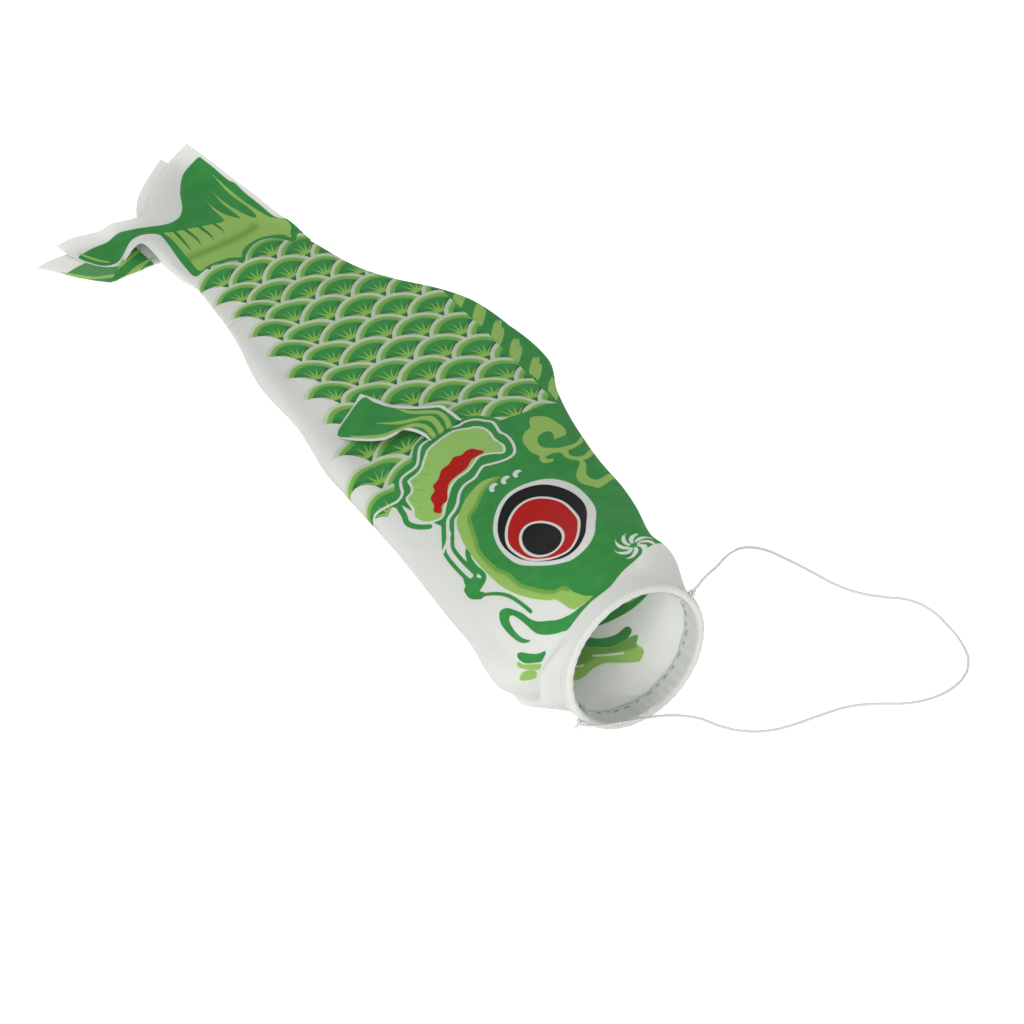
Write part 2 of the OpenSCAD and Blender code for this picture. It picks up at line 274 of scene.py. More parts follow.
def in_section(back, across, up):
    """Points given in the plane of the section at each distance back, in millimetres."""
    roll, lean = np.radians(along(back, 4)), np.radians(along(back, 5))
    half_w, half_h = along(back, 2), along(back, 3) + EDGE
    middle = along(back, 6) + (np.hypot(half_w * np.sin(roll), half_h * np.cos(roll)) + CLOTH) * np.cos(lean)
    rise = across * np.sin(roll) + up * np.cos(roll)
    x = mouth.x / MM - back - rise * np.sin(lean)
    y = mouth.y / MM + along(back, 1) + across * np.cos(roll) - up * np.sin(roll)
    return np.stack([x, y, middle + rise * np.cos(lean)], -1)


def flat_across(back, angle):
    """Where points of a panel lie across the cloth when it is flat, by their angle round it."""
    half_w, half_h = along(back, 2), along(back, 3)
    fine = np.radians(np.linspace(0, 180, 181))
    run = np.hypot(half_w * np.sin(fine), half_h * np.cos(fine)) * (fine[1] - fine[0])
    total = np.cumsum(run, axis=1)
    total = total - total[:, 90:91]
    rows = [np.interp(angle[i], fine, -total[i]) for i in range(len(total))]
    return np.array(rows) + along(back, 1)


def folds(back, flat, angle, side):
    """How far the cloth stands out of its plain shape: soft waves, gathers and a mouth fold."""
    body = smooth((back - 25) / 60)
    waves = (0.8 * np.sin(back / 19 + flat / 23 + 0.6) * np.sin(back / 41 - flat / 17)
             + 0.5 * np.sin(back / 9.5 - flat / 13 + 1.1 * side) * np.sin(flat / 11 + back / 60))
    held = np.sin(angle) ** 0.5
    gathers = (0.45 * np.sin(flat / 2.3 + 0.5 * np.sin(flat / 5)) + 0.35 * np.sin(flat / 4.1 + 2)) \
        * np.exp(-(back - 11) / 9) * smooth((back - 11) / 4)
    out = held * body * waves * 0.9 + held * gathers
    # The spare cloth behind the hoop stands out on the belly's side, in one fold that falls back
    # sharply and runs out at the belly's seam.
    round_belly = side * (flat - flat[:, -1:])
    stand = 8.5 * smooth((60 - round_belly) / 34) * smooth((10 + round_belly) / 22) * smooth((70 - back) / 20)
    ridge = 7 + 7 * smooth((60 - round_belly) / 36) + 18 * smooth((20 - round_belly) / 28)
    before = np.clip((back - 1) / (ridge - 1), 0, 1) ** 1.2
    behind = np.exp(-(np.maximum(back - ridge, 0) / (3.0 + 14 * smooth((12 - round_belly) / 20))) ** 2)
    out = out + stand * np.where(back < ridge, before, behind)
    belly_side = smooth((60 - round_belly) / 30) * smooth((20 + round_belly) / 20)
    out = out - 2.0 * belly_side * np.exp(-((back - ridge - 9) / 5) ** 2)
    out = out - 2.2 * belly_side * np.exp(-((back - 0.5 * ridge) / 2.6) ** 2)
    # Along the seams the cloth is a little slacker or tighter than in the plain sections.
    for edge, at, spread, amount in ((1, 30, 17, 7.5), (1, 98, 34, 4.0), (1, 262, 18, -3.0),
                                     (1, 325, 26, 3.2), (-1, 50, 20, 6.0), (-1, 224, 44, 8.0),
                                     (-1, 325, 35, 5.0)):
        facing = edge * np.cos(angle)    # 1 at the back's seam for edge 1, at the belly's for -1
        out = out + amount * np.exp(-((back - at) / spread) ** 2) * smooth((facing - 0.8) / 0.2)
    return out


# The print is set out on the flat cloth in millimetres: distance back from the hoop, and
# distance across, up towards the back. Each colour is a list of shapes, (0, closed outline)
# or (half width, line), with each outline's points joined by a smooth curve.
GILL_LINE = [(101, -39.5), (113, -40), (126, -39.5), (133, -36), (140, -32), (146, -28), (149, -22),
             (152, -18), (158, -13), (161.5, -7), (162, 0), (165, 5), (167, 9), (165.5, 13), (163.5, 20),
             (164, 27), (167, 31), (172, 33.5), (178, 35), (184, 35), (188, 33.5), (193, 34.5), (199, 35),
             (203, 32), (208, 28), (210, 22), (209, 17), (211, 10), (209, 2), (209, -8), (205, -13),
             (198, -18), (195, -22), (194.5, -28), (193, -33), (188, -36), (183, -38), (180, -44)]
CHEEK_TOP = [(14, 12), (20, 6), (30, 0), (36, -1.5), (40, -4), (42, -9), (50, -15), (60, -20), (66, -22),
             (80, -23), (90, -25.5), (110, -26), (120, -23), (130, -20), (138, -17), (141, -11),
             (146, -5), (150, 2), (152, 13)]
CHEEK_FOOT = [(156, 5), (156, -2), (152, -12), (146, -20), (140, -26), (130, -29), (120, -31), (100, -32),
              (80, -31.5), (70, -30), (60, -27), (50, -22), (40, -15), (36, -11), (28, -8), (20, -4), (15, 2)]
HEAD = [(11, 22), (15, 28), (20, 33), (25, 39), (28, 45), (31, 50), (34, 58), (38, 63), (42, 66), (44, 80),
        (46, 112), (197, 112), (197.5, 92), (198, 75), (196.5, 60), (197, 45), (197, 33), (188, 32),
        (178, 33), (170, 31), (165, 26), (164, 18), (166, 11), (163.5, 6), (160, 0), (157, -7),
        (151, -13), (140, -19), (120, -27), (100, -28), (80, -27), (66, -26), (50, -19), (40, -10),
        (36, -6), (28, -4), (20, 0), (15, 6), (11, 10)]
LIP = [(11, -8), (15, -14), (20, -20.5), (25, -26), (30, -30), (35, -32), (40, -33), (47, -34.5),
       (53, -36.5), (54.5, -38.5), (52, -40.5), (45, -41), (38, -39.5), (32, -36), (36, -41), (42, -44),
       (50, -45.5), (57, -45.5), (62, -43), (63, -40), (60, -36.5), (55, -34), (48, -31), (42, -29.5),
       (36, -26.5), (30, -21), (24, -15), (19, -8), (16, -2), (14, 4), (13, 10), (11, 12)]
FRILL = [(169, 25), (175, 29), (180, 28.5), (185, 28), (190, 29), (197, 28.5), (202, 25), (204, 20),
         (207, 12), (205, 0), (203, -8), (200, -12), (196, -16), (192, -20), (190, -25), (189, -31),
         (184, -32), (180, -34), (178, -39), (172, -40), (168, -40.5), (163, -43), (157, -42), (152, -38),
         (149, -30), (155, -24), (160, -19), (165, -14), (168, -8), (169, 0), (172, 6), (175, 12),
         (173, 18)]
GILL_RED = [(177, 15.5), (179, 16), (182, 14), (185, 12), (185.5, 8), (184, 4), (185.5, 0), (184, -3),
            (182, -6), (181.5, -11), (179, -14), (176, -17), (174, -22), (170, -23), (168, -27),
            (165, -28.5), (161, -29), (158, -31.5), (155, -31), (153, -28.5), (157, -26), (158, -22),
            (160, -20), (165, -17), (169, -13), (170.5, -8), (171.5, -2), (173, 2), (176, 6), (177, 10)]
CLOUD_LEFT = [(125, 78), (118, 75), (113, 66), (110, 60), (109.5, 55), (113, 52), (117, 49), (122, 48),
              (127, 50), (132, 54), (137, 59), (141, 60), (141, 63), (136, 62.5), (131, 60), (127, 57),
              (123, 56), (119, 57), (117, 60), (119, 66), (124, 76)]
CLOUD_RIGHT = [(165, 80), (160, 74), (156, 68), (155, 62), (155.5, 55), (158, 50), (161, 47), (166, 47),
               (171, 50), (173, 55), (172.5, 59), (170, 60), (166, 58.5), (164, 57), (164, 60), (165, 66),
               (169, 69.5), (174, 70.5), (179, 69), (185, 67), (189, 62), (190, 57), (187, 54),
               (182, 51.5), (180, 47), (177, 43), (172, 40), (165, 39), (160, 39), (155, 41), (151, 39),
               (147, 40.5), (146, 45), (148, 47), (149, 44), (151.5, 43), (152.5, 47), (152, 53),
               (151, 60), (153, 68), (158, 76)]
TAIL = [(448, 42), (440, 35), (433, 28.5), (437, 25), (443, 20), (446.5, 12), (445, 5), (441, -1),
        (436, -6), (431, -9.5), (435, -12), (439, -18), (441, -26), (440.5, -34), (439, -42.5),
        (455, -43), (480, -43), (487, -45), (489.5, -55), (490, -62), (487, -70), (485, -78), (488, -85),
        (495, -91), (503, -96), (505, -91), (506.5, -84), (507, -74), (506, -64),
        (503, -55), (500, -48), (497, -40), (495.5, -33), (496, -28), (498, -23), (503, -18.5),
        (510, -15), (520, -11), (530, -5), (536, 0), (540, 6), (543, 12), (545, 17), (540, 18),
        (530, 20), (515, 23), (510, 25.5), (500, 26), (490, 27), (480, 28.5), (470, 30), (464, 31.5),
        (458, 37), (450, 44)]
TAIL_UNDER = [(480, -40), (487, -46), (470, -52), (455, -58), (462, -70), (470, -80), (484, -97),
              (493, -108), (497, -109), (501, -102), (503, -90), (500, -70), (495, -50)]
TAIL_LEAF = [(449, 35), (443, 31), (438, 29), (444, 26), (448, 19), (449.5, 12), (448, 3), (443, -5),
             (437, -9), (441, -14), (443, -22), (443.5, -30), (442, -37.5), (455, -37.5), (470, -37.5),
             (480, -38.5), (487.5, -40), (487, -37), (485.5, -30), (484, -22), (482, -15), (480, -8),
             (478.5, 0.5), (495, 0), (505, 0.4), (495, 1.6), (485, 3.8), (477, 8), (475, 10.6),
             (490, 9), (500, 8.2), (515, 8.5), (500, 9.7), (485, 12.5), (472, 17), (471, 20.8),
             (485, 20), (500, 17.5), (526, 16), (515, 18), (500, 20), (485, 22), (468, 27), (464, 30),
             (459, 35.5)]


def crescent(u, v, size, turn):
    """The outline of a small new moon."""
    outer = [(math.cos(a), math.sin(a)) for a in np.linspace(math.radians(200), math.radians(340), 7)]
    inner = [(0.75 * math.cos(a), 0.56 + 0.8 * math.sin(a))
             for a in np.linspace(math.radians(330), math.radians(210), 5)]
    c, s = math.cos(turn), math.sin(turn)
    return [(u + size * (x * c - y * s), v + size * (x * s + y * c)) for x, y in outer + inner]


def petal(u, v, start, reach):
    """One curved petal of a turning flower."""
    rim = []
    for side, steps in ((1, range(1, 8)), (-1, range(6, 0, -1))):
        for k in steps:
            r = k / 7
            a = start + 0.95 * r * r
            wide = side * 0.15 * math.sin(math.pi * min(r, 0.97)) * (0.3 + r)
            rim.append((u + reach * (r * math.cos(a) - wide * math.sin(a)),
                        v + reach * (r * math.sin(a) + wide * math.cos(a))))
    return rim


PRINT = {
    "dark": [(0, HEAD), (0, LIP), (3.9, GILL_LINE), (0, GILL_LINE[4:]), (0, TAIL),
             (1.1, [(44, -26.5), (60, -30), (70, -33.5), (80, -39.5), (86, -45), (93, -46), (103, -43)]),
             (2.4, [(84, -43), (90, -46.5), (96, -46)]),
             (0, [(88, -39), (90, -46), (101, -45), (104, -41), (98, -38), (91, -36)]),
             (1.5, [(89, -42), (90.5, -36.5), (95, -34), (105, -34.5), (113, -33.5), (118, -31)]),
             (1.7, [(150, -39), (155, -44), (162, -47.5), (168, -46), (175, -45), (182, -44)]),
             (0, [(199, 83.5), (250, 83.5), (300, 83.5), (338, 83), (345, 86), (345, 120), (199, 120)]),
             (0, [(21, -32), (25, -38), (30, -42.5), (35, -46), (37, -49), (35, -50.5), (30, -49),
                  (25, -44), (22, -40)])],
    "leaf": [(0, [(488, -79), (494, -84), (502, -90), (509, -95), (500, -91), (491, -84)]),
             (0, CHEEK_TOP + CHEEK_FOOT), (0, CLOUD_LEFT), (0, CLOUD_RIGHT), (0, TAIL_LEAF),
             (1.9, [(150, 80), (146, 74), (142, 68), (141, 63), (143, 58), (147, 55.5), (151, 57),
                    (153, 53)]),
             (0, [(24, -49), (29, -53), (31, -58), (30, -60.5), (24, -54)]),
             (0, [(22, -42), (26, -46), (31, -50.5), (35, -52), (34, -54.5), (29, -52), (23, -47)])],
    "olive": [(2.4, CHEEK_TOP[3:])],
    "comb": [(0, [(463, -7), (470, -6.2), (481, -7.8), (481, -6), (470, -5)]),
             (0, [(461, -16), (470, -15.3), (484, -17.6), (484, -15.4), (470, -13.8)]),
             (0, [(461, -25), (472, -24.4), (486, -27), (486, -24.8), (472, -22.8)]),
             (0, [(460, -32.6), (472, -32.8), (488, -34), (488, -31.8), (472, -31.2)])],
    "white": [(0, crescent(147.5, 22.5, 4.0, 0.9)), (0, crescent(147, 14, 4.0, 0.9)),
              (0, crescent(146.5, 5.5, 4.0, 0.9)), (1.5, GILL_LINE[:4]), (1.0, GILL_LINE[3:8])],
    "gill": [(0, GILL_LINE[3:] + [(181, -62), (150, -64), (122, -60)])],
    "frill": [(0, FRILL)],
    "pleat": [(0, [(u, v), (u + 0.5, v + 0.5), (u + a, v + b), (u - 0.5, v - 0.2)]) for u, v, a, b in (
        (180, 28, 0, -9), (187, 27, -2, -9), (194, 26, -4, -9), (200, 21, -7, -6), (203, 13, -9, -4),
        (203, 5, -9, -2), (201, -3, -9, 0), (198, -10, -9, 1), (193, -16, -8, 3), (188, -22, -7, 4),
        (186, -28, -6, 4), (179, -31, -5, 4), (174, -37, -4, 4), (166, -38, -2, 5))],
    "red": [(0, GILL_RED)],
    "rim": [(0, [(51, 10), (53, 20), (60, 28), (70, 33), (80, 38), (90, 42), (100, 44), (110, 44.5),
                 (120, 43), (130, 37), (136, 28), (138, 15), (136, 5), (130, -4), (120, -12), (110, -16),
                 (100, -17.5), (90, -17.5), (80, -16), (70, -11), (60, -4), (54, 3)])],
    "ball": [(0, [(56, 10), (58, 17), (65, 24), (75, 29), (85, 34), (95, 38), (105, 39.5), (115, 38),
                  (125, 33), (132, 26), (135, 15), (133, 5), (127, -3), (118, -10), (108, -14), (98, -15),
                  (85, -13.5), (75, -10), (65, -4), (58, 3)])],
    "iris": [(0, [(58.5, 8), (60, 14), (66, 20), (75, 25), (85, 29), (97, 30.5), (108, 30), (118, 25),
                  (124, 18), (125, 10), (122, 2), (115, -6), (105, -12), (95, -13.5), (80, -11.5),
                  (70, -7), (62, 0)])],
    "pupil": [(0, [(86.5 + 20.5 * math.cos(a), 4 + 12.5 * math.sin(a))
                   for a in np.linspace(0, math.tau, 20, endpoint=False)])],
    "scales": [(0, [(197, 140), (197, -20), (186, -34), (181, -44), (181, -90), (425, -90), (436, -60),
                    (440, -44), (444, -26), (440, -10), (448, 5), (441, 28), (450, 41), (453, 60),
                    (453, 140)])],
    "shade": [(1, [(462, 14), (459, 6), (457, -10), (457, -25), (458, -38)])],
}
for start in np.linspace(0, math.tau, 8, endpoint=False):
    PRINT["white"].append((0, petal(38.5, 44, start, 13)))
for start in (201, 223, 246, 267, 289, 313):                        # streaks of the back fin
    for i, long in enumerate((13, 17, 14)):
        at = start + 3.8 * i
        PRINT["leaf"].append((0, [
            (at, 84.2), (at + 3.2, 84.2), (at + 0.75 * long + 2.5, 84 + 0.6 * long),
            (at + 1.2 * long, 84 + long), (at + 0.7 * long - 0.6, 84.6 + 0.6 * long)]))


def curved(points, closed):
    """The points of a smooth curve through the given ones."""
    p = np.array(points, float)
    before, after = np.roll(p, 1, 0), np.roll(p, -1, 0)
    far = np.roll(p, -2, 0)
    if not closed:
        before[0], after[-1], far[-2:] = p[0], p[-1], p[-1]
    steps = []
    for t in (0, 1 / 3, 2 / 3):
        steps.append((2 * p + (after - before) * t + (2 * before - 5 * p + 4 * after - far) * t**2
                      + (3 * p - before - 3 * after + far) * t**3) / 2)
    made = np.stack(steps, 1).reshape(-1, 2)
    return made if closed else made[:-2]


FAR = -6.0               # depth that stands for well outside a shape


def depth(spots, half_width, points):
    """How deep flat points lie inside a shape, in millimetres, less than 0 outside it."""
    closed = half_width == 0
    outline = curved(points, closed)
    found = np.full(len(spots), FAR)
    margin = half_width - FAR
    near = np.all((spots > outline.min(0) - margin) & (spots < outline.max(0) + margin), 1)
    p = spots[near]
    ends = np.roll(outline, -1, 0) if closed else outline[1:]
    nearest = np.full(len(p), 1e9)
    within = np.zeros(len(p), bool)
    for a, b in zip(outline, ends):
        run = b - a
        t = np.clip((p - a) @ run / max(run @ run, 1e-9), 0, 1)
        nearest = np.minimum(nearest, np.hypot(*(p - a - t[:, None] * run).T))
        if closed and a[1] != b[1]:
            crosses = (a[1] > p[:, 1]) != (b[1] > p[:, 1])
            within ^= crosses & (p[:, 0] < a[0] + run[0] * (p[:, 1] - a[1]) / run[1])
    found[near] = np.where(within, nearest, -nearest) if closed else half_width - nearest
    return np.maximum(found, FAR)


def dye(mesh, spots, shapes, own_spots, own_shapes):
    """Stores how deep each vertex lies in each colour's shapes, as attributes of the mesh."""
    for colour in PRINT:
        deepest = np.full(len(spots), FAR)
        for half_width, points in shapes.get(colour, []):
            deepest = np.maximum(deepest, depth(spots, half_width, points))
        for half_width, points in (own_shapes or {}).get(colour, []):
            deepest = np.maximum(deepest, depth(own_spots.reshape(-1, 2), half_width, points))
        attribute = mesh.attributes.new(colour, "FLOAT", "POINT")
        attribute.data.foreach_set("value", deepest.astype(np.float32))


# Dye-printed plain-weave polyester: thin, slightly see-through, with a faint sheen. Colours
# are flat with sharp edges; the scales are laid out by sums on the flat cloth. The real
# threads are 0.15 mm apart, and the weave is drawn at 0.7 mm so that it shows at all.
WHITE = "e3e4e1"
PITCH = 26.2             # from scale to scale along a row
ROW = 20.2               # from row to row
SCALE_R = 21.3           # radius of a scale
LAST_ROW = -45.0         # rows below this are the white belly
THREAD = 0.7             # from thread to thread of the weave
SCALE_SUMS = [
    ("low", "SUBTRACT", 20.0, "v"), ("low", "DIVIDE", "low", 50.0), ("low", "MAXIMUM", "low", 0.0),
    ("low", "MINIMUM", "low", 1.0), ("turned", "SUBTRACT", 245.0, "u"), ("turned", "MAXIMUM", "turned", 0.0),
    ("turned", "MULTIPLY", "turned", 0.28), ("v", "MULTIPLY_ADD", "turned", "low", "v"),
    ("squeeze", "MULTIPLY_ADD", "v", 0.0011, 0.963),
    ("s", "SUBTRACT", "u", 250.0), ("s", "DIVIDE", "s", "squeeze"), ("s", "ADD", "s", 250.0)]
for row, top, first in (("even", 70.0, 183.2), ("odd", 70.0 - ROW, 183.2 + PITCH / 2)):
    SCALE_SUMS += [
        (row, "SUBTRACT", "v", top), (row, "DIVIDE", row, 2 * ROW), (row, "ROUND", row),
        (row, "MULTIPLY_ADD", row, 2 * ROW, top),                   # height of the row's middle
        (row + "_dv", "SUBTRACT", "v", row),
        (row + "_h", "MULTIPLY", row + "_dv", row + "_dv"), (row + "_h", "SUBTRACT", SCALE_R**2, row + "_h"),
        (row + "_h", "MAXIMUM", row + "_h", 0.0), (row + "_h", "SQRT", row + "_h"),
        (row + "_x", "SUBTRACT", "s", row + "_h"), (row + "_x", "SUBTRACT", row + "_x", first),
        (row + "_x", "DIVIDE", row + "_x", PITCH), (row + "_x", "CEIL", row + "_x"),
        (row + "_x", "MULTIPLY_ADD", row + "_x", PITCH, first),     # the scale nearest the head
        (row + "_far", "SUBTRACT", row + "_x", row + "_h"), (row + "_out", "GREATER_THAN", row + "_far", "s"),
        (row + "_x", "MULTIPLY_ADD", row + "_out", 500.0, row + "_x")]
SCALE_SUMS += [
    ("pick", "LESS_THAN", "odd_x", "even_x"), ("x", "MINIMUM", "odd_x", "even_x"),
    ("gap", "SUBTRACT", "odd", "even"), ("mid", "MULTIPLY_ADD", "gap", "pick", "even"),
    ("dv", "SUBTRACT", "v", "mid"), ("ds", "SUBTRACT", "s", "x"),
    ("r", "MULTIPLY", "ds", "ds"), ("dv2", "MULTIPLY", "dv", "dv"), ("r", "ADD", "r", "dv2"),
    ("r", "SQRT", "r"), ("rim", "SUBTRACT", SCALE_R, "r"),          # depth inside the scale's edge
    ("belly", "LESS_THAN", "mid", LAST_ROW),
    # how far outside the neighbours that lie over this scale
    ("high", "ABSOLUTE", "dv"), ("high", "SUBTRACT", ROW, "high"), ("high", "MULTIPLY", "high", "high"),
    ("side", "ADD", "ds", PITCH / 2), ("side", "MULTIPLY", "side", "side"), ("side", "ADD", "side", "high"),
    ("side", "SQRT", "side"), ("ahead", "ADD", "ds", PITCH), ("ahead", "MULTIPLY", "ahead", "ahead"),
    ("ahead", "ADD", "ahead", "dv2"), ("ahead", "SQRT", "ahead"), ("under", "MINIMUM", "side", "ahead"),
    ("under", "SUBTRACT", "under", SCALE_R),
    # rays that spread from the scale's root
    ("root", "ADD", "ds", 0.8), ("rear", "ADD", "root", 0.3), ("turn", "ARCTAN2", "dv", "root"),
    ("turn", "DIVIDE", "turn", 0.44), ("turn", "ADD", "turn", 0.08), ("spoke", "ROUND", "turn"),
    ("turn", "SUBTRACT", "turn", "spoke"),
    ("turn", "ABSOLUTE", "turn"), ("root", "MULTIPLY", "root", "root"), ("reach", "ADD", "root", "dv2"),
    ("reach", "SQRT", "reach"), ("turn", "MULTIPLY", "turn", "reach"), ("turn", "MULTIPLY", "turn", 0.44),
    ("thin", "MULTIPLY_ADD", "reach", -0.09, 1.35), ("ray", "SUBTRACT", "thin", "turn")]
PAINTS = [               # attribute, colour, depth at which it starts, softness of its edge
    ("dark", "3c994c", 0.0, 0.22), ("leaf", "a6ca6e", 0.0, 0.22), ("comb", "3c8f45", 0.0, 0.2),
    ("white", WHITE, 0.0, 0.2), ("gill", WHITE, 0.0, 0.2), ("frill", WHITE, 0.0, 0.2),
    ("frill", "a6d076", 1.5, 0.25), ("pleat", "8fbe62", 0.0, 0.3), ("red", "c21611", 0.0, 0.2),
    ("rim", WHITE, 0.0, 0.2), ("ball", "171617", 0.0, 0.2), ("iris", WHITE, 0.0, 0.2),
    ("iris", "c21611", 1.7, 0.2), ("pupil", WHITE, 0.0, 0.2), ("pupil", "171617", 1.8, 0.2)]


def printed_polyester(name, faded):
    """The printed cloth; faded is how pale the print is on this face."""
    cloth, tree, shader = new_material(name)
    chart = add_node(tree, "ShaderNodeUVMap", {"uv_map": "flat"}).outputs["UV"]
    chart_mm = add_node(tree, "ShaderNodeVectorMath", {"operation": "SCALE"}, {0: chart, "Scale": 1 / MM})
    axes = add_node(tree, "ShaderNodeSeparateXYZ", {}, {0: chart_mm.outputs[0]})
    made = {"u": axes.outputs["X"], "v": axes.outputs["Y"]}
    for step, operation, *values in SCALE_SUMS:
        made[step] = maths(tree, operation, *(made[v] if isinstance(v, str) else v for v in values))
    blotch = add_node(tree, "ShaderNodeTexNoise", {}, {"Vector": chart, "Scale": 90.0, "Detail": 3.0})
    speck = add_node(tree, "ShaderNodeTexNoise", {}, {"Vector": chart, "Scale": 1100.0, "Detail": 1.0})

    def between(value, start, end):
        return add_node(tree, "ShaderNodeMapRange", {"interpolation_type": "SMOOTHSTEP"},
                        {0: value, 1: start, 2: end}).outputs[0]

    def paint(share, under, over):
        return add_node(tree, "ShaderNodeMix", {"data_type": "RGBA"},
                        {0: share, 6: under, 7: over}).outputs[2]

    # A scale: shaded dark green, rays, a leaf-green band and a white edge.
    field = paint(between(made["under"], -0.4, 4.5), linear("2a7a3c"), linear("43a052"))
    rays = maths(tree, "MULTIPLY", between(made["ray"], 0.0, 0.45), between(made["rear"], -0.3, 0.5))
    scale = paint(maths(tree, "MULTIPLY", rays, 0.9), field, linear("a6cf66"))
    band = paint(between(made["rim"], 2.0, 4.6), linear("a9d682"), linear("86bc5c"))
    scale = paint(between(made["rim"], 6.4, 5.9), scale, band)
    scale = paint(between(made["rim"], 2.8, 2.3), scale, linear("d3d9c9"))
    scale = paint(made["belly"], scale, linear(WHITE))
    masks = {}
    for attribute in PRINT:
        masks[attribute] = add_node(tree, "ShaderNodeAttribute", {"attribute_name": attribute}).outputs["Fac"]
    colour = paint(between(masks["scales"], -0.2, 0.2), linear(WHITE), scale)
    for attribute, ink, start, soft in PAINTS:
        ink = linear(ink)
        if attribute == "leaf":
            ink = paint(between(masks["olive"], -0.8, 0.8), ink, linear("7fb355"))
            ink = paint(between(masks["shade"], -5.8, 4.0), ink, linear("6fa647"))
        if attribute == "dark":
            ink = paint(between(blotch.outputs["Fac"], 0.35, 0.68), ink, linear("42a150"))
        mask = masks[attribute]
        if attribute == "gill":      # a line along the outline, 1.8 mm wide
            mask = maths(tree, "SUBTRACT", 0.9, maths(tree, "ABSOLUTE", mask))
        colour = paint(between(mask, start - soft, start + soft), colour, ink)
    colour = paint(faded, colour, linear(WHITE))
    grain = add_node(tree, "ShaderNodeMix", {"data_type": "RGBA", "blend_type": "MULTIPLY"},
                     {0: 0.10, 6: colour, 7: speck.outputs["Color"]}).outputs[2]
    tree.links.new(grain, shader.inputs["Base Color"])
    shader.inputs["Roughness"].default_value = 0.72
    shader.inputs["Sheen Weight"].default_value = 0.04
    shader.inputs["Specular IOR Level"].default_value = 0.25
    # Plain weave: threads over and under each other in both directions.
    warp = maths(tree, "SINE", maths(tree, "MULTIPLY", made["u"], math.tau / THREAD))
    weft = maths(tree, "SINE", maths(tree, "MULTIPLY", made["v"], math.tau / THREAD))
    weave = maths(tree, "MULTIPLY_ADD", warp, weft, speck.outputs["Fac"])
    add_bump(tree, shader, 0.25, 0.0001, weave)
    glow = add_node(tree, "ShaderNodeBsdfTranslucent", {}, {"Color": grain})
    mixed = add_node(tree, "ShaderNodeMixShader", {}, {0: 0.6, 1: shader.outputs[0], 2: glow.outputs[0]})
    tree.links.new(mixed.outputs[0], tree.nodes["Material Output"].inputs["Surface"])
    return cloth


print_outside = printed_polyester("dye_printed_polyester", 0.0)
print_inside = printed_polyester("dye_printed_polyester_reverse", 0.12)


def cloth_grid(name, points, spots, shapes, own_spots=None, own_shapes=None):
    """A sheet of cloth from rows of points in millimetres, with its flat layout and its print."""
    rows, columns = points.shape[:2]
    bpy.ops.mesh.primitive_grid_add(x_subdivisions=columns - 1, y_subdivisions=rows - 1, size=1)
    sheet = bpy.context.object
    sheet.name = sheet.data.name = name
    mesh = sheet.data
    mesh.vertices.foreach_set("co", (points * MM).reshape(-1).astype(np.float32))
    flat = spots.reshape(-1, 2)
    dye(mesh, flat, shapes, own_spots, own_shapes)
    while mesh.uv_layers:
        mesh.uv_layers.remove(mesh.uv_layers[0])
    chart = mesh.uv_layers.new(name="flat")
    corner = np.empty(len(mesh.loops), int)
    mesh.loops.foreach_get("vertex_index", corner)
    chart.data.foreach_set("uv", (flat[corner] * MM).reshape(-1).astype(np.float32))
    mesh.materials.append(print_outside)
    mesh.materials.append(print_inside)
    mesh.update()
    return sheet


def thicken(sheet, outward):
    """Gives the cloth its thickness, with its first face kept on the side that outward says."""
    pick(sheet)
    if sheet.data.polygons[len(sheet.data.polygons) // 2].normal.dot(outward) < 0:
        bpy.ops.object.mode_set(mode="EDIT")
        bpy.ops.mesh.select_all(action="SELECT")
        bpy.ops.mesh.flip_normals()
        bpy.ops.object.mode_set(mode="OBJECT")
    wall = sheet.modifiers.new("wall", "SOLIDIFY")
    wall.thickness = CLOTH * MM
    wall.offset = 0
    wall.material_offset = 1
    wall.use_quality_normals = True
    bpy.ops.object.modifier_apply(modifier="wall")
    bpy.ops.object.shade_smooth()
    return sheet


def panel_part(start, end, rows, columns, side):
    """Rows of points and flat places of one side panel, between two distances back."""
    back = np.linspace(start, end, rows)[:, None]
    angle = np.repeat(np.linspace(0, math.pi, columns)[None, :], rows, 0)
    half_w, half_h = along(back, 2), along(back, 3)
    flat = flat_across(back, angle)
    length = np.hypot(half_h * np.cos(angle), half_w * np.sin(angle))
    out = folds(back, flat, angle, side)
    across = half_w * np.cos(angle) + out * half_h * np.cos(angle) / length
    up = side * (EDGE + half_h * np.sin(angle) + out * half_w * np.sin(angle) / length)
    points = in_section(back, across, up)
    points[..., 2] = np.maximum(points[..., 2], CLOTH)
    # The cloth is gathered lengthways below the flank, which draws the scales back and up there.
    drawn = smooth((-2 - flat) / 44) * smooth((back - 215) / 75) * smooth((432 - back) / 50)
    return points, np.stack([np.repeat(back, columns, 1) - 14 * drawn, flat - 8 * drawn], -1)


SIDE_END = 385.0         # where a side panel's drawing goes over to its tail
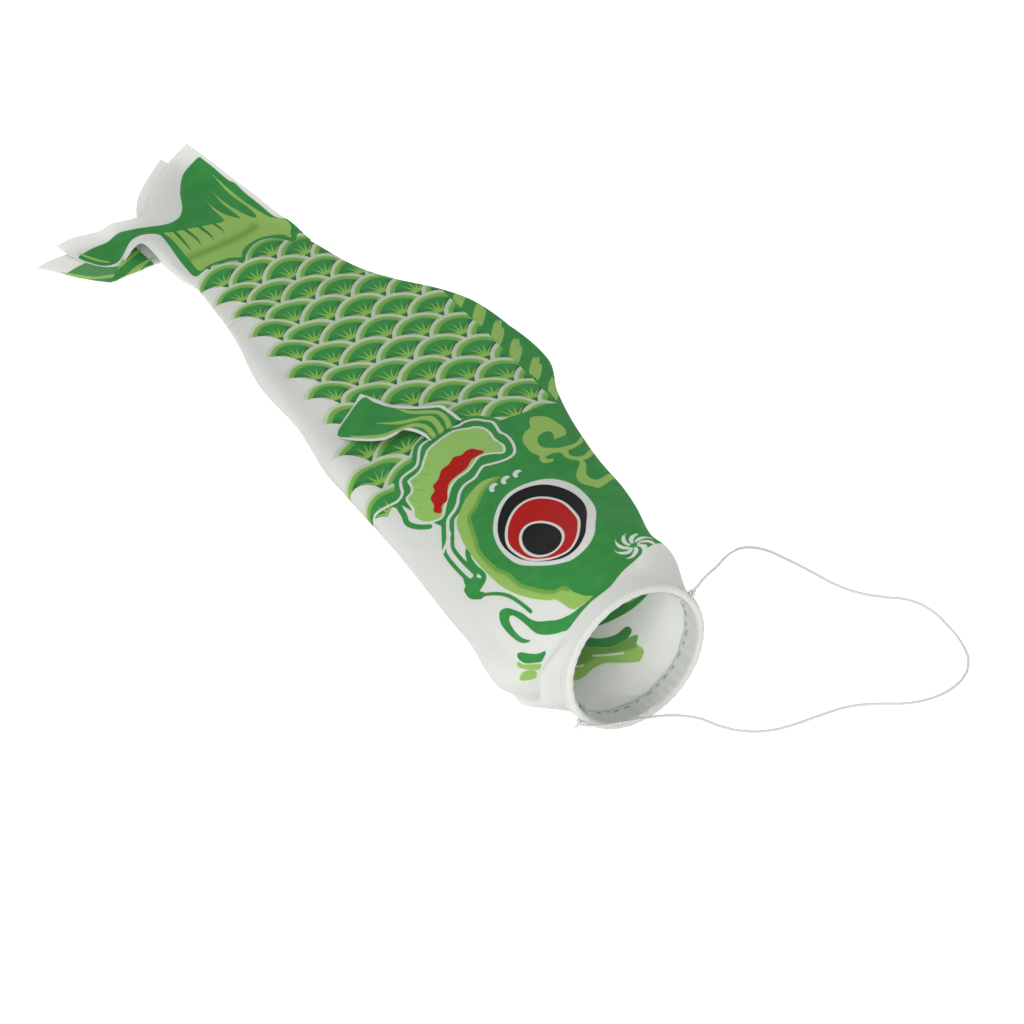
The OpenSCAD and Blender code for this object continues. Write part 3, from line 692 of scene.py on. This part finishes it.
# The left panel is seen only through the mouth. Its lip and beard, on its own flat cloth:
LEFT_PRINT = {
    "dark": [(0, [(42, 37), (55, 28), (61, 18), (63, 5), (61, -8), (55, 0), (50, 10), (45, 22)]),
             (0, [(36, 5), (37, 9), (40, 10), (42, 8), (43, 2), (47, -4), (52, -8), (60, -12), (57, -20),
                  (50, -14), (45, -10), (40, -6), (37, 0)])],
    "leaf": [(0, [(24, -3), (24, 0), (25, 4), (28, 5), (30, 4.5), (32, 9), (34, 8), (36.5, 3), (40, -6),
                  (45, -10), (50, -14), (57, -20), (52, -27), (46, -31), (41, -37), (37, -34), (36, -29),
                  (37, -22), (35, -15), (30, -10)])],
    "olive": [(0, [(29, 3), (32, 10), (35, 8), (36.5, 3), (40, -6), (45, -10), (50, -14), (57, -20),
                   (52, -27), (46, -31), (42, -34), (42, -24), (41, -16), (37, -9), (33, -3)])],
    "white": [(0.7, [(32, -4), (37, -9.6), (43, -16)]), (0.7, [(42, -24), (45, -30)])]}
for hand, side in (("right", 1), ("left", -1)):
    points, spots = panel_part(0.6, SIDE_END, 288, 168, side)
    shapes, own_spots, own_shapes = PRINT, None, None
    if side < 0:
        # The print sits further back on this panel at the mouth, where less cloth is gathered.
        own_spots, own_shapes = spots, LEFT_PRINT
        slide = 1 - smooth((spots[..., 0:1] - 45) / 80)
        spots = spots - slide * np.array([33.0, 24.0])
        shapes = dict(PRINT, dark=[PRINT["dark"][0]] + PRINT["dark"][2:-1],
                      leaf=PRINT["leaf"][:5] + PRINT["leaf"][8:])
    panel = cloth_grid(hand + "_side_panel", points, spots, shapes, own_spots, own_shapes)
    thicken(panel, Vector((0, 0, side)))
    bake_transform(panel)
    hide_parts(hand + "_front_panel", hand + "_rear_panel")


# ---- Hem --------------------------------------------------------------------------------
# The mouth's edge is folded inwards over the hoop and stitched down inside, so a white band
# lies round the inside of the mouth. Its edge is wavy where the cloth is gathered.
TILT = math.radians(SECTIONS[0, 5])
BACKWARD = np.array([-math.cos(TILT), 0, -math.sin(TILT)])
UPWARD = np.array([-math.sin(TILT), 0, math.cos(TILT)])
centre = np.array(mouth) / MM


def round_mouth(behind, radius, turn):
    """Points round the mouth, by distance behind the hoop, distance from its middle and angle."""
    ring = np.stack([np.zeros_like(turn), np.cos(turn), np.zeros_like(turn)], -1) \
        + np.sin(turn)[..., None] * UPWARD
    return centre + behind[..., None] * BACKWARD + radius[..., None] * ring


fold = curved([(11.4, 40.7), (8, 40.9), (4, 41.1), (1.2, 41.1), (-0.9, 41.4), (-1.9, 42.3), (-2.1, 43.2),
               (-1.7, 44.3), (-0.7, 45.1), (0.62, 45.3)], False)
turn = np.linspace(0, math.tau, 241)[None, :] + np.zeros((len(fold), 1))
run = np.linspace(0, 1, len(fold))[:, None]
inner = smooth(1 - run * 3)
behind = fold[:, :1] + 0.6 * inner * np.sin(7 * turn + 1) * np.sin(3 * turn)
radius = fold[:, 1:] + inner * (0.2 * np.sin(19 * turn) + 0.15 * np.sin(33 * turn + 2))
radius = radius + 0.22 * smooth(run * 4) * smooth((1 - run) * 8) * np.sin(41 * turn + 2 * np.sin(5 * turn))
points = round_mouth(behind, radius, turn)
points[..., 2] = np.maximum(points[..., 2], CLOTH)
spots = np.stack([fold[:, :1] + 0 * turn - 30, 43 * turn], -1)
hem = cloth_grid("mouth_hem_band", points, spots, {})
bpy.ops.object.mode_set(mode="EDIT")
bpy.ops.mesh.select_all(action="SELECT")
bpy.ops.mesh.remove_doubles(threshold=1e-5)
bpy.ops.mesh.normals_make_consistent(inside=False)
bpy.ops.object.mode_set(mode="OBJECT")
thicken(hem, hem.data.polygons[len(hem.data.polygons) // 2].normal.copy())
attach(hem, "front")
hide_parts("mouth_hem")


# ---- Hem stitching ----------------------------------------------------------------------
# Green sewing thread in long running stitches, 2 mm from the band's edge, with a loop of
# white thread left at the top of the mouth. Each stitch dips into the cloth at its ends.
threads = []
for name, colour in (("green_sewing_thread", "2f8a4a"), ("white_sewing_thread", "dcdcd8")):
    thread, tree, shader = new_material(name)
    shader.inputs["Base Color"].default_value = linear(colour)
    shader.inputs["Roughness"].default_value = 0.55
    shader.inputs["Sheen Weight"].default_value = 0.3
    place = add_node(tree, "ShaderNodeTexCoord").outputs["Object"]
    twist = add_node(tree, "ShaderNodeTexWave", {"bands_direction": "DIAGONAL"},
                     {"Vector": place, "Scale": 900.0})
    add_bump(tree, shader, 0.4, 0.0001, twist.outputs["Fac"])
    threads.append(thread)


def sewn(name, lines, thickness, material):
    """Thread along each of the lines, given in millimetres, as one object."""
    shape = bpy.data.curves.new(name, "CURVE")
    shape.dimensions = "3D"
    shape.bevel_depth = thickness / 2 * MM
    shape.bevel_resolution = 2
    shape.use_fill_caps = True
    for path in lines:
        stitch = shape.splines.new("POLY")
        stitch.points.add(len(path) - 1)
        for point, spot in zip(stitch.points, path):
            point.co = (*(np.array(spot) * MM), 1)
    return as_mesh(name, shape, material)


STITCHES = 36
STITCH_THREAD = 0.6      # thickness of the sewing thread as drawn
lines = []
for i in range(STITCHES):
    at = math.tau * (i + 0.5) / STITCHES + 0.02 * math.sin(5 * i)
    reach = np.linspace(-1, 1, 7)
    lines.append(round_mouth(9.2 + 0.3 * np.sin(4.0 * i + reach), 40.85 - 0.55 * (1 - reach**2),
                             at + reach * (1.5 + 0.25 * math.sin(3 * i)) / 41))
stitching = sewn("hem_stitches", lines, STITCH_THREAD, threads[0])
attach(stitching, "front")
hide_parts("hem_stitching")

sweep = np.linspace(0, 1, 17)
bow = round_mouth(1.5 + 1.2 * np.sin(math.pi * sweep), 41.3 - 3.6 * np.sin(math.pi * sweep),
                  math.radians(105) + 0.12 * (sweep - 0.5) + 0.04 * np.sin(math.tau * sweep))
loop = sewn("thread_loop", [bow], STITCH_THREAD, threads[1])
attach(loop, "front")


# ---- Tail panels ------------------------------------------------------------------------
# Each side panel widens into one half of the forked tail. The halves are not joined to each
# other there: the lower one has slipped round under the upper one.
def stretch(points, count):
    """That many points, evenly along a smooth line through the given ones."""
    line = curved(points, False)
    run = np.concatenate([[0], np.cumsum(np.hypot(*np.diff(line, axis=0).T))])
    at = np.linspace(0, run[-1], count)
    return np.stack([np.interp(at, run, line[:, 0]), np.interp(at, run, line[:, 1])], 1)


def patch(root, end, top, foot):
    """A grid of flat points filling the shape between four edges that share their ends."""
    rows, columns = len(top), len(root)
    s, t = np.linspace(0, 1, rows)[:, None, None], np.linspace(0, 1, columns)[None, :, None]
    corners = ((1 - s) * (1 - t) * root[0] + (1 - s) * t * root[-1] + s * (1 - t) * end[0] + s * t * end[-1])
    return ((1 - s) * root[None] + s * end[None] + (1 - t) * top[:, None] + t * foot[:, None]) - corners


TAIL_ROOT = 430.0
SLIP = math.radians(8.5)         # how far the lower half has turned under the upper one
FOLD_U = 471.0                   # how far back its corner is folded over
for hand, side in (("right", 1), ("left", -1)):
    body, spots = panel_part(SIDE_END, TAIL_ROOT, 30, 110, side)
    root = spots[-1]
    notch = [(564, 17), (560, 10), (556, 3), (551, -5), (545, -14), (538, -22), (530, -29), (521, -35),
             (514, -40.5)]
    lobe = [(514, -40.5), (514.5, -48), (516.5, -58), (519, -70), (521.5, -82), (523, -92), (522, -103)]
    end = np.concatenate([stretch(notch, 60), stretch(lobe, 51)[1:]])
    top = stretch([tuple(root[0]), (445, 38.3), (457, 37), (470, 34), (490, 31), (510, 27.5), (530, 23),
                   (545, 20), (564, 17)], 90)
    if side > 0:
        foot = stretch([tuple(root[-1]), (440, -50), (455, -53), (470, -55.5), (482, -60), (483, -69),
                        (482, -78), (491, -89), (507, -99.5), (522, -103)], 90)
        reach = foot
        far = end
    else:
        # The lower half's lower lobe lies out at its full length, and its notch is drawn in.
        foot = stretch([tuple(root[-1]), (455, -58), (480, -78), (500, -91), (522, -103)], 90)
        reach = stretch([tuple(root[-1]), (455, -58), (480, -78), (503, -95.5), (528, -110)], 90)
        order = np.arange(len(end))[:, None]
        lower = np.clip((order - 59) / 51, 0, 1) ** 1.5
        far = end + lower * np.array([6.0, -7.0]) - np.exp(-((order - 57) / 15) ** 2) * np.array([4.5, 0.0])
    placed = patch(root, far, top, reach)[1:]
    blade = patch(root, end, top, foot)[1:]
    u, v = placed[..., 0], placed[..., 1]
    settle = smooth((u - TAIL_ROOT) / 28)
    wave = settle * (0.9 * np.sin(u / 17 + v / 29) + 0.6 * np.sin(u / 9 - v / 13))
    if side > 0:
        height = 7.0 + wave + 6.5 * np.exp(-((u - 480) / 15) ** 2 - ((v + 56) / 12) ** 2) \
            - 5.5 * smooth((u - 462) / 14) * smooth((-62 - v) / 13)
    else:
        height = 0.9 + 0.5 * wave
    height = body[-1:, :, 2] * (1 - settle) + height * settle
    swing = SLIP * settle * (side < 0)
    du, dv = u - TAIL_ROOT, v + 3
    plan_u = TAIL_ROOT + du * np.cos(swing) + dv * np.sin(swing)
    plan_v = -3 + dv * np.cos(swing) - du * np.sin(swing)
    if side < 0:
        # Its lower corner is folded over, so the outside of the print shows there.
        over = smooth((-46 - plan_v) / 9) * (plan_u < FOLD_U)
        height = height + over * (1.5 + 0.12 * (FOLD_U - plan_u))
        plan_u = plan_u + over * 2 * (FOLD_U - plan_u)
    blade_at = np.stack([mouth.x / MM - plan_u, mouth.y / MM + plan_v, np.maximum(height, CLOTH)], -1)
    points = np.concatenate([body, blade_at])
    shapes = PRINT
    if side < 0:
        shapes = dict(PRINT, dark=PRINT["dark"] + [(0, TAIL_UNDER)], leaf=PRINT["leaf"] + [
            (0, [(462, -52), (468, -62), (478, -82), (490, -98), (474, -82), (464, -68)]),
            (0, [(472, -46), (478, -58), (490, -80), (497, -92), (484, -76), (475, -60)])])
    tail = cloth_grid(hand + "_tail_panel", points, np.concatenate([spots, blade]), shapes)
    thicken(tail, Vector((0, 0, side)))
    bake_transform(tail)
    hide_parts(hand + "_tail_fin")


# ---- Seams ------------------------------------------------------------------------------
# The panels are sewn inside out, so their 6 mm allowances lie flat together inside the fish
# and only a fine edge of them shows along the back and the belly.
for place_name, edge_angle in (("back", 0.0), ("belly", math.pi)):
    back = np.linspace(0.6, TAIL_ROOT, 300)[:, None]
    inwards = np.linspace(-0.25, 6, 6)[None, :]
    reach = math.cos(edge_angle) * (along(back, 2) - inwards)
    points = in_section(back, reach, 0.15 * np.sin(back / 7 + inwards) * smooth(inwards / 6))
    points[..., 2] = np.maximum(points[..., 2], CLOTH)
    flat = flat_across(back, np.full((len(back), 1), edge_angle)) - math.cos(edge_angle) * inwards
    spots = np.stack([np.repeat(back, inwards.shape[1], 1), flat], -1)
    seam = cloth_grid(place_name + "_seam", points, spots, PRINT)
    thicken(seam, Vector((0, 0, 1)))
    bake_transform(seam)
    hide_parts(place_name + "_seam_front", place_name + "_seam_rear")


# ---- Pectoral fins ----------------------------------------------------------------------
# One double-hemmed layer of printed cloth each, sewn to its side panel at the root only. The
# right one arches back over the flank, and the left one lies flat under the fish.
FIN_LEAF = [
    (0, [(209, 12), (218, 15.5), (228, 15.5), (235, 9.5), (241, 3), (250, -2.4), (262, -7.6),
         (250, -3.4), (240, 0), (233, 6), (227, 12.5), (217, 12), (208.5, 8.6)]),
    (0, [(208.5, 6.4), (217, 9), (226, 9.6), (231, 5), (235, -4), (240, -12), (247, -20), (239, -14),
         (233, -8), (229, 1), (224, 5.4), (216, 5), (207.8, 3)]),
    (0, [(207.6, 0.6), (215, 2.2), (222, 2), (229, -3), (231.6, -14), (234, -22), (241, -30),
         (248, -37), (239, -31.5), (232, -25), (229, -15), (226.6, -6), (221, -1.4), (215, -1.4),
         (207.2, -2)])]
FIN_GREEN = [(208, -1.6), (216, -2.6), (224.6, -5.4), (230, -10.6), (229.6, -16), (230.4, -22), (235, -27.6),
             (245, -36), (254, -42), (263, -29), (271, -13.6), (263, -10.4), (252.6, -5), (244.6, 1.8),
             (238.4, 8.4), (234, 14), (230.6, 17.6), (216, 18.6), (211.6, 18.6)]
fin_shapes = {"dark": [(0, [(u - 1.5, v) for u, v in FIN_GREEN[:2]] + FIN_GREEN[2:-2]
                        + [(u - 1.5, v) for u, v in FIN_GREEN[-2:]])],
              "leaf": FIN_LEAF}
for hand, side in (("right", 1), ("left", -1)):
    root = stretch([(212, 21), (210.5, 14), (209, 6), (207, -4)], 26)
    top = stretch([(212, 21), (216, 21), (226, 20.6), (232, 20), (236, 16), (240, 10), (246, 4), (254, -3),
                   (265, -8), (275, -13)], 60)
    foot = stretch([(207, -4), (216, -5), (224, -8), (228, -11), (227, -16), (228, -23), (233, -29),
                    (243, -37), (255, -45)], 60)
    end = stretch([(275, -13), (268, -23), (262, -33), (255, -45)], 26)
    shape = patch(root, end, top, foot)
    u, v = shape[..., 0], shape[..., 1]
    if side > 0:
        half_w, half_h = along(u, 2), along(u, 3)
        middle = along(u, 6) + half_h + EDGE + CLOTH
        s = np.linspace(0, 1, 60)[:, None] + 0 * u
        height = 6.0 * np.sin(math.pi * np.clip(s * 1.35, 0, 1)) ** 0.8 + 0.9 \
            + 1.6 * smooth((s - 0.6) / 0.4) + 1.4 * np.sin(s * 9 + np.linspace(0, 2.5, 26)[None, :]) * s
        across = v - along(u, 1)
        # The arch is drawn forward by as much as it stands above the flank.
        plan_u, plan_v = u - 0.72 * (height - 0.9), v - 0.46 * (height - 0.9)
        bulge = np.sqrt(np.maximum(1 - (across / (half_w + 2)) ** 2, 0.02))
        z = middle + EDGE + half_h * bulge + height
    else:
        plan_u, plan_v = u, v
        z = np.full_like(u, 0.9) + 0.25 * np.sin(u / 6)
    points = np.stack([mouth.x / MM - plan_u, mouth.y / MM + plan_v, z], -1)
    fin = cloth_grid(hand + "_pectoral_fin_cloth", points, shape, fin_shapes)
    thicken(fin, Vector((0, 0, side)))
    start = mouth + Vector((-0.209, 0.0085, 0))
    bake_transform(fin)
    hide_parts(hand + "_pectoral_fin")

    # Its root is sewn down with a row of small stitches.
    lines = []
    for i in range(9):
        at = i / 8
        u, v = 212 - 5 * at + 0.8, 20 - 23 * at
        half_w, half_h = along(np.array([u]), 2)[0], along(np.array([u]), 3)[0]
        z = along(np.array([u]), 6)[0] + 2 * half_h + 2 * EDGE + CLOTH + 0.9 if side > 0 else 1.0
        x, y = mouth.x / MM - u, mouth.y / MM + v
        lines.append([(x, y + 0.9, z - 0.2), (x, y + 0.4, z + 0.35),
                      (x, y - 0.4, z + 0.35), (x, y - 0.9, z - 0.2)])
    tack = sewn(hand + "_fin_tacking", lines, 0.4, threads[0])
    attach(tack, "front")
    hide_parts(hand + "_fin_seam")


# ---- Floor and light --------------------------------------------------------------------
# A pale seamless sheet under soft studio light: a wide light in front of the mouth, on the
# belly's side, a weak one from above and an even white surround.
bpy.ops.mesh.primitive_plane_add(size=8, location=(0, 0, 0))
floor = bpy.context.object
floor.name = "floor"
paper, tree, shader = new_material("matt_white_paper")
shader.inputs["Base Color"].default_value = linear("f4f4f3")
shader.inputs["Roughness"].default_value = 0.95
shader.inputs["Emission Color"].default_value = (1, 1, 1, 1)
shader.inputs["Emission Strength"].default_value = 0.35
floor.data.materials.append(paper)

world = bpy.data.worlds.new("studio")
bpy.context.scene.world = world
world.use_nodes = True
world.node_tree.nodes["Background"].inputs["Color"].default_value = (1, 1, 1, 1)
world.node_tree.nodes["Background"].inputs["Strength"].default_value = 1.18
bpy.context.scene.view_settings.view_transform = "Standard"
for spot, size, power in (((1.0, -1.4, 0.8), 1.6, 26), ((-0.6, 0.5, 1.9), 1.8, 6)):
    bpy.ops.object.light_add(type="AREA", location=spot)
    lamp = bpy.context.object
    lamp.data.size = size
    lamp.data.energy = power
    lamp.rotation_euler = (-Vector(spot)).to_track_quat("-Z", "Y").to_euler()
